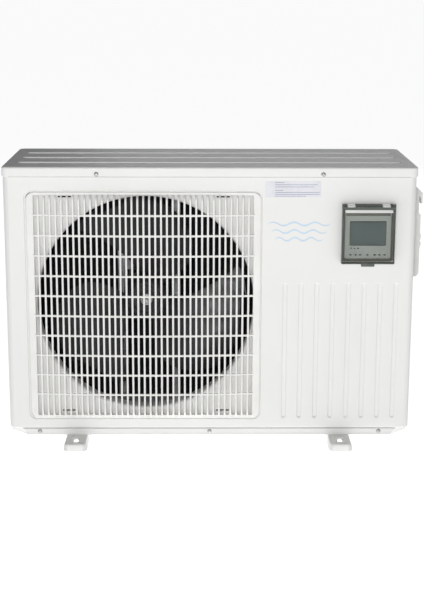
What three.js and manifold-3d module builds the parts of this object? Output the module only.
// Pool heat pump: an upright cabinet whose fan draws air through an L-shaped finned coil, while a
// refrigerant circuit beside it warms pool water in an upright heat exchanger.
//
// Millimetres, +Z up, the front faces -Y. The ground under the feet is z = 0. Inside the cabinet,
// x = 0 and y = 0 are the middle of the casing; the last lines centre the whole outline on the origin.

import * as THREE from 'three';
import { mergeVertices } from 'three/addons/utils/BufferGeometryUtils.js';
import Module from 'manifold-3d';

const wasm = await Module();
wasm.setup();

// ---------------------------------------------------------------- driving dimensions

const gap = 0.3;                       // clearance between pieces that touch
const sheet = 1.5;                     // casing steel
const casingWidth = 800;
const casingDepth = 290;
const casingCorner = 12;               // bend radius of the upright corners
const footHeight = 14;
const panHeight = 14;                  // visible edge of the base pan, under the front panel
const panelBottom = footHeight + panHeight;
const casingTop = panelBottom + 530;
const coverLip = 22.5;
const seam = casingTop - coverLip;     // where the cover's lip meets the panels
const panelTop = seam + 11;            // the panels run up behind the lip
const left = -casingWidth / 2;
const right = casingWidth / 2;
const front = -casingDepth / 2;
const rear = casingDepth / 2;

const pan = { sheet: 2, hem: 2.5, hemStep: 1.2, chamferTop: 26, chamferBottom: 36 };
const panFloor = footHeight + pan.sheet;

const foot = { spacing: 524, middle: -3, reach: 60, topWidth: 40, flare: 3, chamfer: 6, sheet: 2 };
const footSlot = { width: 12, length: 26, fromFront: 27, ringWidth: 24, ringLength: 38, ringHeight: 1 };

const fan = {
  x: -126, y: -30, z: panelBottom + 255, opening: 213, radius: 204, hub: 46, blades: 3, turn: -0.75,
};
const recess = { x: -129, z: panelBottom + 250.5, size: 462, corner: 14, depth: 13, slope: 3 };
const grille = {
  x: -128.4, z: panelBottom + 250.4, width: 450, height: 451, corner: 12, sideRim: 11.7, endRim: 4, skirt: 3,
  bulge: 11.5, edge: 3, bar: 4, thick: 3, columns: 38, rows: 11, rowPitch: 40, facets: 6,
};
const returnDepth = { left: 45, right: 30 };
const partitionX = 113;

const display = { x: 306.5, z: panelBottom + 399.5, width: 103, height: 118 };
const screw = { head: 4.6, headHeight: 2.4, shank: 2, length: 9, hole: 2.5 };
const topScrews = { x: [-218.5, 218.5], z: panelBottom + 513 };
const bottomScrews = { x: [-340, 0, 340], z: panelBottom - 6.2 };
const unionPipe = { x: 312, inletZ: 118, outletZ: 322, thread: 33, nut: 42, bore: 25 };

// ---------------------------------------------------------------- finishes

const finishes = {
  whiteSteel: { color: 0xecece8, roughness: 0.45, metalness: 0.0 },
  whitePlastic: { color: 0xf1f1ec, roughness: 0.5, metalness: 0.0 },
  greyPlastic: { color: 0x8c9089, roughness: 0.55, metalness: 0.0 },
  smokedPlastic: { color: 0x4b4f4b, roughness: 0.12, metalness: 0.0 },
  lcd: { color: 0x53615f, roughness: 0.2, metalness: 0.0 },
  darkPlastic: { color: 0x3b3c40, roughness: 0.5, metalness: 0.0 },
  blackPaint: { color: 0x1d1e20, roughness: 0.5, metalness: 0.1 },
  galvanised: { color: 0xb9bcbc, roughness: 0.42, metalness: 0.85 },
  zinc: { color: 0xc4c4c0, roughness: 0.32, metalness: 0.9 },
  fins: { color: 0x34383a, roughness: 0.55, metalness: 0.5 },
  copper: { color: 0xb5714a, roughness: 0.35, metalness: 0.95 },
  brass: { color: 0xb49a57, roughness: 0.35, metalness: 0.95 },
  rubber: { color: 0x202020, roughness: 0.85, metalness: 0.0 },
  greyPvc: { color: 0x77797b, roughness: 0.5, metalness: 0.0 },
  circuitBoard: { color: 0x1f5a38, roughness: 0.5, metalness: 0.0 },
};

// ---------------------------------------------------------------- solids from three.js shapes

const weld = 1e-4;
const arcSteps = 2;                    // a quarter turn has twice as many sides

function signedVolume(positions, triangles) {
  const corner = (i) => new THREE.Vector3().fromArray(positions, 3 * i);
  let sum = 0;
  for (let i = 0; i < triangles.length; i += 3) {
    sum += corner(triangles[i]).dot(corner(triangles[i + 1]).cross(corner(triangles[i + 2])));
  }
  return sum / 6;
}

// Turns a closed three.js geometry into a manifold solid that faces out.
function toSolid(geometry) {
  const bare = geometry.clone();
  bare.deleteAttribute('normal');
  bare.deleteAttribute('uv');
  const merged = mergeVertices(bare, weld);
  const index = merged.index.array;
  const positions = new Float32Array(merged.attributes.position.array);
  const triangles = [];
  for (let i = 0; i < index.length; i += 3) {
    const [a, b, c] = [index[i], index[i + 1], index[i + 2]];
    if (a !== b && b !== c && c !== a) triangles.push(a, b, c);
  }
  if (signedVolume(positions, triangles) < 0) triangles.reverse();
  const mesh = new wasm.Mesh({ numProp: 3, vertProperties: positions, triVerts: new Uint32Array(triangles) });
  return new wasm.Manifold(mesh);
}

const join = (...solids) => solids.reduce((sum, next) => sum.add(next));
const cut = (solid, ...tools) => tools.reduce((rest, tool) => rest.subtract(tool), solid);

// A block from three [low, high] pairs.
function block(x, y, z) {
  const geometry = new THREE.BoxGeometry(x[1] - x[0], y[1] - y[0], z[1] - z[0]);
  geometry.translate((x[0] + x[1]) / 2, (y[0] + y[1]) / 2, (z[0] + z[1]) / 2);
  return toSolid(geometry);
}

function extrude(shape, depth, steps = arcSteps) {
  return new THREE.ExtrudeGeometry(shape, { depth, bevelEnabled: false, curveSegments: steps });
}

// A plan outline in X and Y, raised from low to high.
function uprightPrism(shape, low, high, steps) {
  return toSolid(extrude(shape, high - low, steps).translate(0, 0, low));
}

// An outline in X and Z, run from the front y to the back y.
function frontPrism(shape, frontY, backY, steps) {
  return toSolid(extrude(shape, backY - frontY, steps).rotateX(Math.PI / 2).translate(0, backY, 0));
}

// Joins two plan outlines with the same number of points, one at each height.
function loft(lowShape, highShape, low, high) {
  const lowPoints = lowShape.getPoints(arcSteps);
  const highPoints = highShape.getPoints(arcSteps);
  const geometry = extrude(highShape, high - low);
  const position = geometry.attributes.position;
  for (let i = 0; i < position.count; i += 1) {
    if (position.getZ(i) > weld) continue;
    const here = new THREE.Vector2(position.getX(i), position.getY(i));
    const match = highPoints.findIndex((point) => point.distanceTo(here) < 0.01);
    position.setXY(i, lowPoints[match].x, lowPoints[match].y);
  }
  return geometry.translate(0, 0, low);
}

const axes = {
  x: (geometry) => geometry.rotateZ(-Math.PI / 2),
  y: (geometry) => geometry,
  z: (geometry) => geometry.rotateX(Math.PI / 2),
};

// A profile of [radius, height] pairs turned about an axis through the given point.
function turned(profile, axis, [x, y, z], sides = 20) {
  const points = profile.map(([radius, height]) => new THREE.Vector2(radius, height));
  return toSolid(axes[axis](new THREE.LatheGeometry(points, sides)).translate(x, y, z));
}

// A rod of the given radius from low to high along an axis through the given point.
function rod(radius, low, high, axis, centre, sides = 12) {
  return turned([[0, low], [radius, low], [radius, high], [0, high]], axis, centre, sides);
}

// A round bar along a smooth curve through the points.
function bentRod(points, radius, steps = 14, sides = 8) {
  const section = new THREE.Shape(new THREE.Path().absarc(0, 0, radius, 0, 2 * Math.PI).getPoints(sides / 2));
  const route = new THREE.CatmullRomCurve3(points.map((point) => new THREE.Vector3(...point)));
  return toSolid(new THREE.ExtrudeGeometry(section, { steps, extrudePath: route }));
}

function polygon(points) {
  return new THREE.Shape(points.map(([x, y]) => new THREE.Vector2(x, y)));
}

function circle(radius, [x, y] = [0, 0]) {
  return new THREE.Shape().absarc(x, y, radius, 0, 2 * Math.PI);
}

function roundedRect(width, height, radius, [x, y] = [0, 0]) {
  const a = width / 2 - radius;
  const b = height / 2 - radius;
  const shape = new THREE.Shape();
  shape.absarc(x + a, y - b, radius, -Math.PI / 2, 0);
  shape.absarc(x + a, y + b, radius, 0, Math.PI / 2);
  shape.absarc(x - a, y + b, radius, Math.PI / 2, Math.PI);
  shape.absarc(x - a, y - b, radius, Math.PI, 1.5 * Math.PI);
  return shape;
}

function chamferedRect(width, height, chamfer) {
  const [a, b] = [width / 2, height / 2];
  return polygon([
    [a - chamfer, -b], [a, -b + chamfer], [a, b - chamfer], [a - chamfer, b],
    [-a + chamfer, b], [-a, b - chamfer], [-a, -b + chamfer], [-a + chamfer, -b],
  ]);
}

// ---------------------------------------------------------------- the scene graph

const heatPump = new THREE.Group();

function subAssembly(x, y, z) {
  const group = new THREE.Group();
  group.position.set(x, y, z);
  heatPump.add(group);
  return group;
}

function addPart(group, name, solid, finish, place = [0, 0, 0]) {
  const result = solid.getMesh();
  const geometry = new THREE.BufferGeometry();
  geometry.setAttribute('position', new THREE.BufferAttribute(result.vertProperties, result.numProp));
  geometry.setIndex(new THREE.BufferAttribute(result.triVerts, 1));
  geometry.computeVertexNormals();
  const mesh = new THREE.Mesh(geometry, new THREE.MeshStandardMaterial(finish));
  mesh.name = name;
  mesh.position.set(...place);
  group.add(mesh);
}

const casing = subAssembly(0, 0, 0);

// ---------------------------------------------------------------- base and feet

function buildBasePan() {
  const edge = pan.hemStep * 2;
  const hem = uprightPrism(chamferedRect(casingWidth, casingDepth, pan.chamferBottom), footHeight, footHeight + pan.hem);
  const wall = toSolid(loft(
    chamferedRect(casingWidth - edge, casingDepth - edge, pan.chamferBottom),
    chamferedRect(casingWidth - edge, casingDepth - edge, pan.chamferTop),
    footHeight, panelBottom - gap,
  ));
  const inset = 2 * (pan.sheet + pan.hemStep);
  const hollow = uprightPrism(
    chamferedRect(casingWidth - inset, casingDepth - inset, pan.chamferBottom), panFloor, panelBottom,
  );
  const drains = [-300, -60].map((x) => rod(9, 0, panelBottom, 'z', [x, 60, 0], 12));
  const holes = bottomScrews.x.map((x) => rod(screw.hole, -10, 10, 'y', [x, front, bottomScrews.z], 8));
  return cut(join(hem, wall), hollow, ...drains, ...holes);
}

// A pressed rail that runs under the pan and shows a slotted toe at the front and at the rear.
function buildFoot() {
  const length = casingDepth + 2 * foot.reach;
  const top = footHeight - gap;
  const outline = (width, inset) => chamferedRect(width - 2 * inset, length - 2 * inset, foot.chamfer);
  const bottomWidth = foot.topWidth + 2 * foot.flare;
  const outer = toSolid(loft(outline(bottomWidth, 0), outline(foot.topWidth, 0), 0, top));
  const inner = toSolid(loft(
    outline(bottomWidth, foot.sheet), outline(foot.topWidth, foot.sheet), -1, top - foot.sheet,
  ));
  let rail = outer.subtract(inner);
  for (const side of [-1, 1]) {
    const y = side * (length / 2 - footSlot.fromFront);
    const { width, ringWidth, ringLength, ringHeight } = footSlot;
    const ring = roundedRect(ringWidth, ringLength, ringWidth / 2 - 0.01, [0, y]);
    const slot = roundedRect(width, footSlot.length, width / 2 - 0.01, [0, y]);
    rail = rail.add(uprightPrism(ring, top - foot.sheet, top + ringHeight));
    rail = rail.subtract(uprightPrism(slot, -1, top + 2 * ringHeight));
  }
  return rail;
}

addPart(casing, 'base_pan', buildBasePan(), finishes.whiteSteel);
addPart(casing, 'foot_left', buildFoot(), finishes.whiteSteel, [foot.middle - foot.spacing / 2, 0, 0]);
addPart(casing, 'foot_right', buildFoot(), finishes.whiteSteel, [foot.middle + foot.spacing / 2, 0, 0]);

// ---------------------------------------------------------------- front panel and grille

const grooves = {
  first: 148, pitch: 31.1, count: 8, low: panelBottom + 22, high: panelBottom + 300, width: 10, floor: 5, depth: 2.4,
};
const clip = { width: 26, height: 3, x: [-282, 26], z: [panelBottom + 34.5, panelBottom + 471] };

function panelPlan() {
  const r = casingCorner;
  const plan = new THREE.Shape();
  plan.moveTo(left, front + returnDepth.left);
  plan.absarc(left + r, front + r, r, Math.PI, 1.5 * Math.PI);
  plan.absarc(right - r, front + r, r, 1.5 * Math.PI, 2 * Math.PI);
  plan.lineTo(right, front + returnDepth.right);
  plan.lineTo(right - sheet, front + returnDepth.right);
  plan.absarc(right - r, front + r, r - sheet, 2 * Math.PI, 1.5 * Math.PI, true);
  plan.absarc(left + r, front + r, r - sheet, 1.5 * Math.PI, Math.PI, true);
  plan.lineTo(left + sheet, front + returnDepth.left);
  return plan;
}

// The pressed-in tray behind the grille: a sloping wall and a flat floor of the same sheet.
function recessTray(inset) {
  const large = roundedRect(recess.size - 2 * inset, recess.size - 2 * inset, recess.corner);
  const small = recess.size - 2 * inset - 2 * recess.slope;
  const geometry = loft(roundedRect(small, small, recess.corner - recess.slope), large, 0, recess.depth);
  return geometry.rotateX(Math.PI / 2).translate(recess.x, 0, recess.z);
}

function bellMouth() {
  const r = fan.opening;
  const profile = [[r, 0], [r + 7, 0], [r + 3, 6], [r + 2, 34], [r, 34], [r, 0]];
  return turned(profile, 'y', [fan.x, front + recess.depth, fan.z], 48);
}

// One upright groove with round ends, as a solid that is widest towards the front.
function grooveSolid(x, grow, floorY, mouthY) {
  const length = grooves.high - grooves.low - grooves.width;
  const place = [0, (grooves.low + grooves.high) / 2];
  const stadium = (width) => roundedRect(width, length + width, width / 2 - 0.01, place);
  const geometry = loft(stadium(grooves.floor + grow), stadium(grooves.width + grow), 0, floorY - mouthY);
  return toSolid(geometry.rotateX(Math.PI / 2).translate(x, floorY, 0));
}

function buildFrontPanel() {
  const low = panelBottom;
  const skin = uprightPrism(panelPlan(), low, panelTop);
  const flange = [left + casingCorner, right - casingCorner];
  const bottomFlange = block(flange, [front + sheet / 2, front + 14], [low, low + sheet]);
  const topFlange = block(flange, [front + sheet / 2, front + 12], [panelTop - sheet, panelTop]);
  const tray = toSolid(recessTray(0).translate(0, front + recess.depth + sheet, 0));
  const mouth = toSolid(recessTray(1).translate(0, front + recess.depth, 0));
  const trayTrim = block([left, right], [front - 20, front + 0.05], [0, casingTop]);
  const opening = rod(fan.opening, -20, 20, 'y', [fan.x, front + recess.depth, fan.z], 48);
  const bulges = [];
  const cuts = [];
  for (let i = 0; i < grooves.count; i += 1) {
    const x = grooves.first + i * grooves.pitch;
    bulges.push(grooveSolid(x, sheet, front + grooves.depth + sheet, front + sheet / 2));
    cuts.push(grooveSolid(x, 0, front + grooves.depth, front - 1));
  }
  let panel = join(skin, bottomFlange, topFlange, tray.subtract(trayTrim));
  panel = join(cut(panel, mouth, opening), bellMouth(), ...bulges);
  for (const x of clip.x) {
    for (const z of clip.z) {
      const across = [x - clip.width / 2, x + clip.width / 2];
      cuts.push(block(across, [front, front + 30], [z - clip.height / 2, z + clip.height / 2]));
    }
  }
  for (const x of topScrews.x) cuts.push(rod(screw.hole, -10, 10, 'y', [x, front, topScrews.z], 8));
  cuts.push(block(
    [display.x - 46.5, display.x + 46.5], [front - 5, front + 5], [display.z - 50.5, display.z + 50.5],
  ));
  return cut(panel, ...cuts);
}

// The grille bulges forward across its width, like a barrel, and its rim drops into the tray.
function grilleFace(offset) {
  const steps = grille.facets;
  const across = (i, depth) => {
    const a = (2 * i) / steps - 1;
    return [a * (grille.width / 2), -(grille.edge + grille.bulge * (1 - a * a)) + depth];
  };
  const outer = [];
  const inner = [];
  for (let i = 0; i <= steps; i += 1) {
    outer.push(across(i, offset));
    inner.unshift(across(i, offset + grille.thick));
  }
  return polygon([...outer, ...inner]);
}

function buildFrontGrille() {
  const { width, height, corner, sideRim, endRim, skirt, bar, columns, rows, rowPitch } = grille;
  const floorY = recess.depth - gap;
  const face = uprightPrism(grilleFace(0), -height / 2, height / 2);
  const belly = polygon([
    ...grilleFace(0).getPoints().slice(0, grille.facets + 1).map((point) => [point.x, point.y]),
    [width / 2, floorY], [-width / 2, floorY],
  ]);
  const outline = roundedRect(width, height, corner);
  const hollow = roundedRect(width - 2 * skirt, height - 2 * skirt, corner - skirt);
  const body = uprightPrism(belly, -height / 2, height / 2);
  const wall = cut(body, frontPrism(hollow, -30, 30));
  let basket = join(face, wall).intersect(frontPrism(outline, -30, 30));
  const columnPitch = (width - 2 * sideRim + bar) / columns;
  const top = height / 2 - endRim;
  for (let i = 0; i < columns; i += 1) {
    for (let j = 0; j < rows; j += 1) {
      const x = -width / 2 + sideRim + i * columnPitch;
      const z = top - j * rowPitch;
      const low = j === rows - 1 ? -top : z - rowPitch + bar;
      const slot = block([x, x + columnPitch - bar], [-30, -grille.edge + grille.thick + 0.5], [low, z]);
      basket = basket.subtract(slot);
    }
  }
  return basket;
}

addPart(casing, 'front_panel', buildFrontPanel(), finishes.whiteSteel);
addPart(casing, 'front_grille', buildFrontGrille(), finishes.whitePlastic, [grille.x, front, grille.z]);

// ---------------------------------------------------------------- top cover

const coverFit = 0.8;                  // between the panels and the cover's lip
const coverRound = 6.6;
const topRibs = { y: [-83, -8, 67], length: 752, width: 16, proud: 3 };

function coverDome(inset, top) {
  const round = coverRound - inset;
  const width = casingWidth + 2 * (coverFit + sheet - inset);
  const depth = casingDepth + 2 * (coverFit + sheet - inset);
  const shape = roundedRect(width - 2 * round, depth - 2 * round, casingCorner - round + sheet);
  const geometry = new THREE.ExtrudeGeometry(shape, {
    depth: coverLip, bevelThickness: round, bevelSize: round, bevelSegments: 2, curveSegments: arcSteps,
  });
  return toSolid(geometry.translate(0, 0, top - coverLip - round));
}

function buildTopCover() {
  const below = block([-500, 500], [-200, 200], [seam - 50, seam]);
  let shell = coverDome(0, casingTop - topRibs.proud);
  for (const y of topRibs.y) {
    const ends = roundedRect(topRibs.length, topRibs.width, topRibs.width / 2 - 0.01, [0, y]);
    const crest = roundedRect(topRibs.length - 6, topRibs.width - 6, topRibs.width / 2 - 3.01, [0, y]);
    shell = shell.add(toSolid(loft(ends, crest, casingTop - topRibs.proud - sheet / 2, casingTop)));
  }
  const holes = topScrews.x.map((x) => rod(screw.hole, -10, 10, 'y', [x, front, topScrews.z], 8));
  return cut(shell, coverDome(sheet, casingTop - topRibs.proud - sheet), below, ...holes);
}

addPart(casing, 'top_cover', buildTopCover(), finishes.whiteSteel);

// ---------------------------------------------------------------- right-hand panel and service cover

const service = { y: [-75, 55], z: [panelBottom + 297, panelBottom + 477], wall: 2.5 };
const grommetZ = [panelBottom + 360.5, panelBottom + 375.5];
const grommetY = service.y[0] + 14;

function buildRightPanel() {
  const r = casingCorner;
  const plan = new THREE.Shape();
  plan.moveTo(right, front + returnDepth.right + gap);
  plan.absarc(right - r, rear - r, r, 0, Math.PI / 2);
  plan.lineTo(partitionX, rear);
  plan.lineTo(partitionX, rear - sheet);
  plan.absarc(right - r, rear - r, r - sheet, Math.PI / 2, 0, true);
  plan.lineTo(right - sheet, front + returnDepth.right + gap);
  const panel = uprightPrism(plan, panelBottom, panelTop);
  const hatch = block([right - 5, right + 5], [-60, 10], [service.z[0] + 20, service.z[0] + 90]);
  const pipeHoles = [unionPipe.inletZ, unionPipe.outletZ].map(
    (z) => rod(unionPipe.thread + 1, -5, 5, 'y', [unionPipe.x, rear, z], 24),
  );
  return cut(panel, hatch, ...pipeHoles);
}

// The moulded cover over the wiring hatch. Its top is a hood with finger room behind its lip.
function buildServiceCover() {
  const [low, high] = service.z;
  const base = right + gap;
  const out = (distance) => right + distance;
  const profile = polygon([
    [base, low], [out(13), low], [out(17.5), low + 2.5], [out(20), low + 7], [out(20.3), low + 56],
    [out(20.5), low + 90], [out(20.5), low + 126], [out(17), low + 130], [out(10), low + 134],
    [out(10), low + 164], [out(19), low + 164], [out(19), low + 148], [out(23), low + 148],
    [out(23), high - 10], [out(12), high], [base, high],
  ]);
  const inside = [service.y[0] + service.wall, service.y[1] - service.wall];
  const cheeks = [[service.y[0], inside[0]], [inside[1], service.y[1]]].map(
    (across) => block([base, out(17)], across, [low + 129, low + 165]),
  );
  const shell = join(frontPrism(profile, service.y[0], service.y[1]), ...cheeks);
  const hollow = block([right - 1, out(17.5)], inside, [low + 10, low + 122]);
  const holes = grommetZ.map((z) => rod(5.8, 0, 30, 'x', [right, grommetY, z], 12));
  return cut(shell, hollow, ...holes);
}

function buildCableGrommet() {
  const face = 20.6;
  const profile = [
    [0, face - 6], [5.4, face - 6], [5.4, face + gap], [7.2, face + gap], [7.2, face + 1.8],
    [5.2, face + 3.2], [0, face + 3.2],
  ];
  return turned(profile, 'x', [right, 0, 0], 12);
}

addPart(casing, 'right_side_panel', buildRightPanel(), finishes.whiteSteel);
addPart(casing, 'service_cover', buildServiceCover(), finishes.whitePlastic);
addPart(casing, 'cable_grommet_lower', buildCableGrommet(), finishes.whitePlastic, [0, grommetY, grommetZ[0]]);
addPart(casing, 'cable_grommet_upper', buildCableGrommet(), finishes.whitePlastic, [0, grommetY, grommetZ[1]]);

// ---------------------------------------------------------------- coil, its guard and the partition

const coil = { thick: 22, outerX: left + 8, outerY: rear - 7, corner: 50, low: panFloor + gap, high: 540, legEnd: -95 };

// An L in plan: along the rear from endX, round the corner, and forward along the left side.
function lShape(outerX, outerY, corner, thick, endX, endY) {
  const shape = new THREE.Shape();
  const centre = [outerX + corner, outerY - corner];
  shape.moveTo(endX, outerY);
  shape.absarc(...centre, corner, Math.PI / 2, Math.PI);
  shape.lineTo(outerX, endY);
  shape.lineTo(outerX + thick, endY);
  shape.absarc(...centre, corner - thick, Math.PI, Math.PI / 2, true);
  shape.lineTo(endX, outerY - thick);
  return shape;
}

function buildFins() {
  const plan = lShape(coil.outerX, coil.outerY, coil.corner, coil.thick, partitionX - 3, coil.legEnd);
  return uprightPrism(plan, coil.low, coil.high, 3);
}

function buildCoilGuard() {
  const wire = 3;
  const band = 12;
  const [low, high] = [panelBottom + 2, panelTop];
  const plan = lShape(left, rear, coil.corner + 5, wire, partitionX - gap, front + returnDepth.left + gap);
  const hoops = [uprightPrism(plan, low, low + band), uprightPrism(plan, high - band, high)];
  const hoopCount = 3;
  const hoopPlan = lShape(left + 1, rear - 1, coil.corner + 4, 2, partitionX - gap, front + returnDepth.left + gap);
  for (let i = 1; i <= hoopCount; i += 1) {
    const z = low + band + (i * (high - low - 2 * band)) / (hoopCount + 1);
    hoops.push(uprightPrism(hoopPlan, z - wire / 2, z + wire / 2));
  }
  const bars = [];
  const upright = (x, y) => block([x, x + wire], [y, y + wire], [low + 1, high - 1]);
  for (let x = left + 75; x < partitionX - wire; x += 56) bars.push(upright(x, rear - wire));
  for (let y = front + returnDepth.left + 3; y < rear - 70; y += 54) bars.push(upright(left, y));
  return join(...hoops, ...bars);
}

function buildPartition() {
  const wall = block([partitionX, partitionX + sheet], [front + 18, 115], [panFloor + gap, 520]);
  const flange = block([partitionX, partitionX + 14], [front + 17, front + 18 + sheet], [panFloor + gap, 520]);
  const pipeGap = rod(14, -10, 10, 'x', [partitionX, 90, 60], 12);
  return join(wall, flange).subtract(pipeGap);
}

// A collector pipe beside the end plate, with a short branch to each circuit of the coil.
function buildHeader(x, y, low, high, branches) {
  const parts = [rod(7, low, high, 'z', [x, y, 0], 12)];
  for (let i = 0; i < branches; i += 1) {
    const z = low + 15 + (i * (high - low - 30)) / (branches - 1);
    parts.push(rod(4, partitionX + gap - x, 0, 'x', [x, y, z], 8));
  }
  return join(...parts);
}

const header = { x: partitionX + 18, y: coil.outerY - coil.thick / 2, low: 70, high: 500 };

addPart(casing, 'evaporator_fins', buildFins(), finishes.fins);
addPart(
  casing, 'coil_end_plate',
  block([partitionX - 2.5, partitionX], [coil.outerY - coil.thick - 1, coil.outerY + 1], [coil.low, coil.high]),
  finishes.galvanised,
);
addPart(casing, 'coil_header', buildHeader(header.x, header.y, header.low, header.high, 6), finishes.copper);
addPart(casing, 'coil_guard', buildCoilGuard(), finishes.whiteSteel);
addPart(casing, 'partition_plate', buildPartition(), finishes.galvanised);

// ---------------------------------------------------------------- fan, motor and bracket

const motor = { radius: 50, front: 22, rear: 100 };
const shaft = { radius: 6, front: -66, thread: 4, threadFront: -80 };
const rail = { offset: 59, width: 14, front: 103, back: 113 };

function buildMotor() {
  const { radius: r } = motor;
  const profile = [
    [0, motor.rear], [r - 6, motor.rear], [r, motor.rear - 6], [r, motor.front + 8], [r - 8, motor.front],
    [18, motor.front], [18, motor.front - 10], [0, motor.front - 10],
  ];
  const bearing = rod(shaft.radius + gap, motor.front - 20, motor.front + 8, 'y', [0, 0, 0], 16);
  return turned(profile, 'y', [0, 0, 0]).subtract(bearing);
}

function buildMotorBracket() {
  const { offset, width, front: y0, back: y1 } = rail;
  const low = panFloor + gap - fan.z;
  const high = panelTop - fan.z;
  const parts = [];
  for (const side of [-1, 1]) {
    const x = side * offset;
    parts.push(block([x - width / 2, x + width / 2], [y0, y0 + 2], [low, high]));
    for (const edge of [-1, 1]) {
      const flange = x + (edge * (width - 2)) / 2;
      parts.push(block([flange - 1, flange + 1], [y0, y1], [low, high]));
    }
    parts.push(block([x - width / 2 - 10, x + width / 2 + 10], [y0, y1], [low, low + 2]));
  }
  for (const z of [-38, 38]) {
    const reach = offset + width / 2;
    parts.push(block([-reach, reach], [motor.rear + gap, y0 + 0.5], [z - 12, z + 12]));
  }
  return join(...parts);
}

// One swept, twisted blade: a grid of segments bent round the hub.
function fanBlade(turn) {
  const geometry = new THREE.BoxGeometry(1, 1, 1, 4, 5, 1);
  const position = geometry.attributes.position;
  const [rootRadius, span, sweep, pitch] = [fan.hub - 6, 1.45, 0.55, 78];
  for (let i = 0; i < position.count; i += 1) {
    const along = position.getX(i) + 0.5;
    const across = position.getY(i);
    const radius = THREE.MathUtils.lerp(rootRadius, fan.radius, along);
    const chord = span * (0.55 + 0.45 * Math.sin(Math.PI * Math.min(along * 0.75 + 0.12, 1)));
    const angle = turn + across * chord + sweep * along * along;
    const rounded = 1 - 0.045 * Math.pow(2 * across, 4) * along;
    const thickness = 5 - 2 * along;
    const y = -40 + across * pitch * (0.55 + 0.45 * along) + position.getZ(i) * thickness;
    position.setXYZ(i, radius * rounded * Math.cos(angle), y, radius * rounded * Math.sin(angle));
  }
  return toSolid(geometry);
}

function buildImpeller() {
  const r = fan.hub;
  const hub = turned([[0, 4], [r, 4], [r + 2, -20], [r - 2, -62], [r - 14, -70], [0, -70]], 'y', [0, 0, 0]);
  const rearCup = turned([[12, 8], [r - 5, 8], [r - 5, -50], [12, -50], [12, 8]], 'y', [0, 0, 0]);
  const bore = rod(shaft.radius + gap, -90, 20, 'y', [0, 0, 0], 16);
  const seat = rod(14, -80, shaft.front - 0.5, 'y', [0, 0, 0], 16);
  const blades = [];
  for (let i = 0; i < fan.blades; i += 1) blades.push(fanBlade(fan.turn + (i * 2 * Math.PI) / fan.blades));
  return cut(join(hub, ...blades), rearCup, bore, seat);
}

function buildFanShaft() {
  const { radius, thread } = shaft;
  const profile = [
    [0, motor.front + 6], [radius, motor.front + 6], [radius, shaft.front + 1], [thread, shaft.front],
    [thread, shaft.threadFront], [0, shaft.threadFront],
  ];
  return turned(profile, 'y', [0, 0, 0], 16);
}

function buildFanNut() {
  const { thread } = shaft;
  const [inside, outside] = [shaft.front - 1 - gap, shaft.front - 9];
  const profile = [
    [thread + gap, inside], [12, inside], [12, inside - 2], [8.5, inside - 2], [8.5, outside],
    [thread + gap, outside], [thread + gap, inside],
  ];
  return turned(profile, 'y', [0, 0, 0], 12);
}

const fanUnit = subAssembly(fan.x, fan.y, fan.z);
addPart(fanUnit, 'fan_motor', buildMotor(), finishes.blackPaint);
addPart(fanUnit, 'motor_bracket', buildMotorBracket(), finishes.galvanised);
addPart(fanUnit, 'fan_shaft', buildFanShaft(), finishes.zinc);
addPart(fanUnit, 'fan_impeller', buildImpeller(), finishes.darkPlastic);
addPart(fanUnit, 'fan_nut', buildFanNut(), finishes.zinc);

// ---------------------------------------------------------------- compressor and accumulator

const compressor = { x: 215, y: -40, radius: 55, low: 14, high: 236 };
const mountCircle = 78;
const mountAngles = [-0.5, -0.5 + (2 * Math.PI) / 3, -0.5 + (4 * Math.PI) / 3];
const accumulator = { x: 153, y: -103, radius: 26, low: 60, high: 215 };

function buildCompressor() {
  const { radius: r, low, high } = compressor;
  const can = turned([
    [0, low], [r - 22, low], [r - 8, low + 6], [r, low + 18], [r, high - 24], [r - 5, high - 11],
    [r - 20, high - 2], [r - 30, high], [0, high],
  ], 'z', [0, 0, 0]);
  const stub = rod(6, high - 1, high + 10, 'z', [0, 0, 0], 12);
  const terminals = rod(15, high - 12, high + 2, 'z', [-28, -12, 0], 12);
  let plate = uprightPrism(circle(r - 6), low - 1, low + 3, 6);
  for (const angle of mountAngles) {
    const [x, y] = [mountCircle * Math.cos(angle), mountCircle * Math.sin(angle)];
    const arm = block([20, mountCircle], [-11, 11], [low - 1, low + 3]).rotate([0, 0, (angle * 180) / Math.PI]);
    plate = join(plate, arm, rod(13, low - 1, low + 3, 'z', [x, y, 0], 12));
    plate = plate.subtract(rod(7.5, low - 5, low + 5, 'z', [x, y, 0], 12));
  }
  return join(can, plate, stub, terminals);
}

function buildMountGrommet() {
  const { low } = compressor;
  return turned([
    [0, gap], [12, gap], [10.5, low - 1 - gap], [7.2, low - 1 - gap], [7.2, low + 3 + gap],
    [9.5, low + 3 + gap], [9, low + 8], [0, low + 8],
  ], 'z', [0, 0, 0], 12);
}

function buildAccumulator() {
  const { radius: r, low, high } = accumulator;
  const can = turned([
    [0, low], [8, low], [r - 7, low + 7], [r, low + 18], [r, high - 18], [r - 7, high - 7], [8, high], [0, high],
  ], 'z', [0, 0, 0], 16);
  return can.add(rod(7, high - 1, high + 8, 'z', [0, 0, 0], 12));
}

const compressorUnit = subAssembly(compressor.x, compressor.y, panFloor);
addPart(compressorUnit, 'compressor', buildCompressor(), finishes.blackPaint);
addPart(
  compressorUnit, 'compressor_terminal_cap',
  turned([[0, 0], [17, 0], [17, 10], [11, 18], [0, 18]], 'z', [0, 0, 0], 12),
  finishes.darkPlastic, [-28, -12, compressor.high + 2 + gap],
);
mountAngles.forEach((angle, i) => addPart(
  compressorUnit, `compressor_grommet_${i + 1}`, buildMountGrommet(), finishes.rubber,
  [mountCircle * Math.cos(angle), mountCircle * Math.sin(angle), 0],
));
addPart(casing, 'accumulator', buildAccumulator(), finishes.blackPaint, [accumulator.x, accumulator.y, panFloor]);

// ---------------------------------------------------------------- refrigerant circuit

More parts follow.
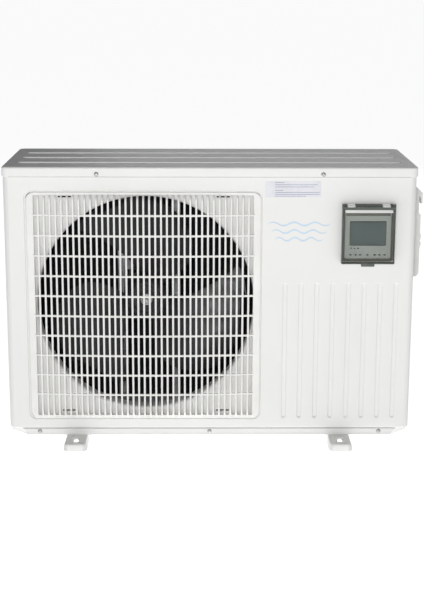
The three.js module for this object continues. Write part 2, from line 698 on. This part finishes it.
const valve = { x: 178, y: 32, z: 340, radius: 12, half: 45, branch: 24, stub: 22 };
const exchanger = { x: unionPipe.x, y: 50, radius: 68, low: panFloor + 2, high: 392 };
const gasPort = { z: 290, x: exchanger.x - exchanger.radius - 12 };
const liquidPort = { z: 78, x: exchanger.x - exchanger.radius - 12 };
const expansion = { x: 168, y: 88, z: 150 };

function buildReversingValve() {
  const { radius, half, branch, stub } = valve;
  const lower = [-branch, 0, branch].map((x) => rod(6, -stub, 0, 'z', [x, 0, 0], 10));
  const body = rod(radius, -half, half, 'x', [0, 0, 0], 16);
  const pilot = rod(6, -18, 18, 'x', [0, -radius - 3, 4], 10);
  return join(body, pilot, rod(6, 0, stub, 'z', [0, 0, 0], 10), ...lower);
}

function buildExpansionValve() {
  const body = rod(9, -22, 22, 'z', [0, 0, 0], 12);
  const coilCap = rod(17, 18, 40, 'z', [0, 0, 0], 16);
  return join(body, coilCap, rod(5, 0, 20, 'x', [0, 0, -10], 8));
}

const compressorTop = panFloor + compressor.high + 10 + gap;
const accumulatorTop = panFloor + accumulator.high + 8 + gap;
const valveUnder = valve.z - valve.stub - gap;
const valveOver = valve.z + valve.stub + gap;

const dischargeRoute = [
  [compressor.x, compressor.y, compressorTop], [compressor.x, compressor.y, compressorTop + 12],
  [compressor.x, compressor.y, compressorTop + 50], [compressor.x, compressor.y + 12, valveOver + 12],
  [valve.x + 18, valve.y - 34, valveOver + 28], [valve.x, valve.y, valveOver + 22],
  [valve.x, valve.y, valveOver + 10], [valve.x, valve.y, valveOver],
];
const suctionRoute = [
  [valve.x, valve.y, valveUnder], [valve.x, valve.y, valveUnder - 10], [valve.x, valve.y - 3, valveUnder - 20],
  [valve.x - 8, valve.y - 36, valveUnder - 34], [accumulator.x, accumulator.y + 24, accumulatorTop + 44],
  [accumulator.x, accumulator.y + 1, accumulatorTop + 22], [accumulator.x, accumulator.y, accumulatorTop + 10],
  [accumulator.x, accumulator.y, accumulatorTop],
];
const coilGasRoute = [
  [valve.x - valve.branch, valve.y, valveUnder], [valve.x - valve.branch, valve.y, valveUnder - 10],
  [valve.x - valve.branch, valve.y + 4, valveUnder - 22], [header.x + 30, header.y - 34, 262],
  [header.x + 24, header.y - 4, 250], [header.x + 15, header.y, 250], [header.x + 7 + gap, header.y, 250],
];
const exchangerGasRoute = [
  [valve.x + valve.branch, valve.y, valveUnder], [valve.x + valve.branch, valve.y, valveUnder - 9],
  [gasPort.x - 22, exchanger.y - 4, gasPort.z + 2], [gasPort.x - 9, exchanger.y, gasPort.z],
  [gasPort.x - gap, exchanger.y, gasPort.z],
];
const warmLiquidRoute = [
  [liquidPort.x - gap, exchanger.y, liquidPort.z], [liquidPort.x - 9, exchanger.y, liquidPort.z],
  [liquidPort.x - 18, exchanger.y + 1, liquidPort.z + 3],
  [expansion.x + 44, expansion.y - 16, expansion.z - 16], [expansion.x + 34, expansion.y, expansion.z - 10],
  [expansion.x + 20 + gap, expansion.y, expansion.z - 10],
];
const coldLiquidRoute = [
  [expansion.x, expansion.y, expansion.z - 22 - gap], [expansion.x, expansion.y + 1, expansion.z - 44],
  [header.x + 26, header.y - 10, 100], [header.x + 16, header.y, 98], [header.x + 7 + gap, header.y, 98],
];

// A titanium coil inside an upright shell, with a threaded port for each water connection.
function buildExchanger() {
  const { radius: r, low, high } = exchanger;
  const shell = turned([
    [0, low], [r - 6, low], [r, low + 6], [r, low + 24], [r - 3, low + 27], [r - 3, high - 27],
    [r, high - 24], [r, high - 6], [r - 6, high], [0, high],
  ], 'z', [0, 0, 0], 24);
  const ports = [gasPort, liquidPort].map((port) => rod(6, port.x - exchanger.x, 0, 'x', [0, 0, port.z], 10));
  const throat = unionPipe.thread;
  const wall = rear - exchanger.y;
  const parts = [shell, ...ports];
  const bores = [];
  for (const z of [unionPipe.inletZ, unionPipe.outletZ]) {
    parts.push(rod(throat, 0, wall + 27, 'y', [0, 0, z], 24));
    bores.push(rod(unionPipe.bore - 2, 40, wall + 40, 'y', [0, 0, z], 24));
  }
  return cut(join(...parts), ...bores);
}

// A ribbed hand nut that clamps the tailpiece's flange against the threaded port.
function buildUnionNut() {
  const { thread, nut } = unionPipe;
  const lip = thread - 2.5;
  const profile = [
    [thread + 0.4, 9], [nut - 3, 9], [nut - 1, 12], [nut - 1, 38], [nut - 4, 42], [lip, 42], [lip, 36],
    [thread + 0.4, 36], [thread + 0.4, 9],
  ];
  const ribsRound = [];
  for (let i = 0; i < 8; i += 1) {
    ribsRound.push(block([nut - 3, nut + 1], [12, 38], [-4, 4]).rotate([0, 45 * i, 0]));
  }
  return join(turned(profile, 'y', [0, 0, 0], 24), ...ribsRound);
}

function buildTailpiece() {
  const { thread, bore } = unionPipe;
  const face = 27 + gap;
  return turned([
    [bore, face], [thread - gap, face], [thread - gap, 35.5], [thread - 3, 35.5], [thread - 3, 60],
    [bore, 60], [bore, face],
  ], 'y', [0, 0, 0], 24);
}

addPart(casing, 'reversing_valve', buildReversingValve(), finishes.brass, [valve.x, valve.y, valve.z]);
addPart(casing, 'discharge_pipe', bentRod(dischargeRoute, 4.8), finishes.copper);
addPart(casing, 'suction_pipe', bentRod(suctionRoute, 6, 16), finishes.copper);
addPart(casing, 'coil_gas_pipe', bentRod(coilGasRoute, 4.8), finishes.copper);
addPart(casing, 'exchanger_gas_pipe', bentRod(exchangerGasRoute, 4.8, 10), finishes.copper);
addPart(casing, 'warm_liquid_pipe', bentRod(warmLiquidRoute, 3.2), finishes.copper);
addPart(casing, 'expansion_valve', buildExpansionValve(), finishes.brass, [expansion.x, expansion.y, expansion.z]);
addPart(casing, 'cold_liquid_pipe', bentRod(coldLiquidRoute, 3.2, 12), finishes.copper);
addPart(casing, 'water_heat_exchanger', buildExchanger(), finishes.greyPvc, [exchanger.x, exchanger.y, 0]);
for (const [end, z] of [['inlet', unionPipe.inletZ], ['outlet', unionPipe.outletZ]]) {
  const unionUnit = subAssembly(unionPipe.x, rear, z);
  addPart(unionUnit, `${end}_union_nut`, buildUnionNut(), finishes.greyPvc);
  addPart(unionUnit, `${end}_tailpiece`, buildTailpiece(), finishes.greyPvc);
}

// ---------------------------------------------------------------- electrical box

const electrical = { x: [128, 390], y: [-110, 70], z: [408, 528] };

function buildElectricalBox() {
  const outer = block(electrical.x, electrical.y, electrical.z);
  const inner = block(
    [electrical.x[0] + sheet, electrical.x[1] - sheet], [electrical.y[0] + sheet, electrical.y[1] - sheet],
    [electrical.z[0] + sheet, electrical.z[1] + 1],
  );
  const cableSlot = block([electrical.x[1] - 5, electrical.x[1] + 5], [-50, 30], [430, 470]);
  return cut(outer, inner, cableSlot);
}

function buildControlBoard() {
  const board = block([-80, 80], [-60, 60], [0, 1.6]);
  const devices = [
    block([-70, -40], [-50, -20], [1, 24]), block([-34, -18], [-48, -22], [1, 17]),
    block([-10, 6], [-48, -22], [1, 17]), block([14, 30], [-48, -22], [1, 17]),
    block([44, 74], [-50, 10], [1, 30]), rod(9, 1, 34, 'z', [-58, 20, 0], 12),
    rod(9, 1, 34, 'z', [-36, 20, 0], 12), block([-14, 10], [6, 30], [1, 5]), block([-70, 60], [46, 56], [1, 11]),
  ];
  const standoffs = [[-74, -54], [74, -54], [-74, 54], [74, 54]].map(
    ([x, y]) => rod(3, -8, 0.5, 'z', [x, y, 0], 8),
  );
  return join(board, ...devices, ...standoffs);
}

function buildTerminalBlock() {
  let body = block([-9, 9], [-38, 38], [0, 24]);
  for (let i = 0; i < 5; i += 1) {
    const y = -30 + 15 * i;
    body = body.subtract(block([2, 12], [y - 5.5, y + 5.5], [8, 30]));
  }
  return body;
}

const boxFloor = electrical.z[0] + sheet;
addPart(casing, 'electrical_box', buildElectricalBox(), finishes.galvanised);
addPart(casing, 'control_board', buildControlBoard(), finishes.circuitBoard, [228, -35, boxFloor + 8 + gap]);
addPart(casing, 'terminal_block', buildTerminalBlock(), finishes.whitePlastic, [374, -10, boxFloor + gap]);
addPart(
  casing, 'run_capacitor', rod(20, -45, 45, 'x', [0, 0, 0], 16), finishes.zinc, [250, 46, boxFloor + 20 + gap],
);

// ---------------------------------------------------------------- controller and its hinged cover

const bezel = { half: 46, low: -50, high: 42, proud: 8, back: 22 };
const lid = { proud: 18, plate: 2.2, rim: 2.2, tab: 13, tabDrop: 5, pivotY: -13.5, pivotZ: 52, barrel: 4.2 };
const pin = { radius: 1.6, hole: 2, inner: 24, outer: 51 };
const knuckle = { inner: 26.5, outer: 41.5 };
const lcd = { width: 69.5, height: 47, thick: 3, z: 0 };
const keys = { z: -42.5, x: [-33.2, -23, -14.2, 0, 14.2, 23, 33.2], radius: 2.8, proud: 1.4, travel: 0.8 };

function buildDisplayHousing() {
  const flange = block([-50, 50], [-3, -gap], [-57, 57]);
  const body = block([-bezel.half, bezel.half], [-bezel.proud, bezel.back], [bezel.low, bezel.high]);
  const posts = [-1, 1].map((side) => {
    const across = [side * knuckle.inner, side * knuckle.outer].sort((a, b) => a - b);
    const arm = block(across, [lid.pivotY, -1], [lid.pivotZ - 4, lid.pivotZ + 4]);
    const eye = rod(4, across[0], across[1], 'x', [0, lid.pivotY, lid.pivotZ], 12);
    return arm.add(eye);
  });
  const window = block(
    [-lcd.width / 2 - gap, lcd.width / 2 + gap], [-bezel.proud - 1, -bezel.proud + lcd.thick + gap],
    [lcd.z - lcd.height / 2 - gap, lcd.z + lcd.height / 2 + gap],
  );
  const keyHoles = keys.x.map(
    (x) => rod(keys.radius + gap, -bezel.proud - 1, -bezel.proud + 5.5, 'y', [x, 0, keys.z], 12),
  );
  const pinHole = rod(pin.hole, -60, 60, 'x', [0, lid.pivotY, lid.pivotZ], 12);
  const backHollow = block(
    [-bezel.half + 3, bezel.half - 3], [0, bezel.back + 1], [bezel.low + 3, bezel.high - 3],
  );
  return cut(join(flange, body, ...posts), window, pinHole, backHollow, ...keyHoles);
}

// A shallow smoked lid whose barrels share the pins with the housing's two knuckles.
function buildDisplayCover() {
  const [w, h] = [display.width / 2, display.height / 2];
  const face = block([-w, w], [-lid.proud, -lid.proud + lid.plate], [-h, h]);
  const rimBack = -3 - 2 * gap;
  const rims = [
    block([-w, -w + lid.rim], [-lid.proud + 1, rimBack], [-h, lid.pivotZ]),
    block([w - lid.rim, w], [-lid.proud + 1, rimBack], [-h, lid.pivotZ]),
    block([-w, w], [-lid.proud + 1, rimBack], [-h, -h + lid.rim]),
  ];
  const tab = block([-lid.tab, lid.tab], [-lid.proud, -lid.proud + 3.5], [-h - lid.tabDrop, -h + 1]);
  const barrels = [[-w, -knuckle.outer - 0.8], [-knuckle.inner + 0.8, knuckle.inner - 0.8], [knuckle.outer + 0.8, w]];
  const eyes = barrels.map(([a, b]) => rod(lid.barrel, a, b, 'x', [0, lid.pivotY, lid.pivotZ], 12));
  const notches = [-1, 1].map((side) => {
    const across = [side * (knuckle.inner - 0.8), side * (knuckle.outer + 0.8)].sort((a, b) => a - b);
    return block(across, [-30, 0], [lid.pivotZ - 5.5, h + 1]);
  });
  const pinHole = rod(pin.hole, -60, 60, 'x', [0, lid.pivotY, lid.pivotZ], 12);
  return cut(join(face, ...rims, tab, ...eyes), ...notches, pinHole);
}

const controller = subAssembly(display.x, front, display.z);
addPart(controller, 'display_housing', buildDisplayHousing(), finishes.greyPlastic);
addPart(
  controller, 'lcd_module',
  block([-lcd.width / 2, lcd.width / 2], [0, lcd.thick], [-lcd.height / 2, lcd.height / 2]),
  finishes.lcd, [0, -bezel.proud, lcd.z],
);
addPart(controller, 'display_cover', buildDisplayCover(), finishes.smokedPlastic);
for (const [side, sign] of [['left', -1], ['right', 1]]) {
  const ends = [sign * pin.inner, sign * pin.outer].sort((a, b) => a - b);
  const hingePin = rod(pin.radius, ends[0], ends[1], 'x', [0, 0, 0], 12);
  addPart(controller, `cover_hinge_pin_${side}`, hingePin, finishes.blackPaint, [0, lid.pivotY, lid.pivotZ]);
}
keys.x.forEach((x, i) => addPart(
  controller, `key_${i + 1}`,
  turned([[0, 3.6], [keys.radius, 3.6], [keys.radius, -0.9], [keys.radius - 0.5, -keys.proud], [0, -keys.proud]], 'y', [0, 0, 0], 10),
  finishes.darkPlastic, [x, -bezel.proud, keys.z],
));

// ---------------------------------------------------------------- casing screws

function buildScrew() {
  const { head, headHeight, shank, length } = screw;
  return turned([
    [0, length], [shank, length], [shank, -gap], [head, -gap], [head, -1], [head - 1.6, -headHeight], [0, -headHeight],
  ], 'y', [0, 0, 0], 10);
}

const lipFace = front - coverFit - sheet;
topScrews.x.forEach((x, i) => addPart(
  casing, `cover_screw_${i + 1}`, buildScrew(), finishes.zinc, [x, lipFace, topScrews.z],
));
bottomScrews.x.forEach((x, i) => addPart(
  casing, `panel_screw_${i + 1}`, buildScrew(), finishes.zinc, [x, front + pan.hemStep, bottomScrews.z],
));

// ---------------------------------------------------------------- centre the outline on the origin

const outline = new THREE.Box3().setFromObject(heatPump);
heatPump.position.x = -(outline.min.x + outline.max.x) / 2;
heatPump.position.y = -(outline.min.y + outline.max.y) / 2;

export default heatPump;
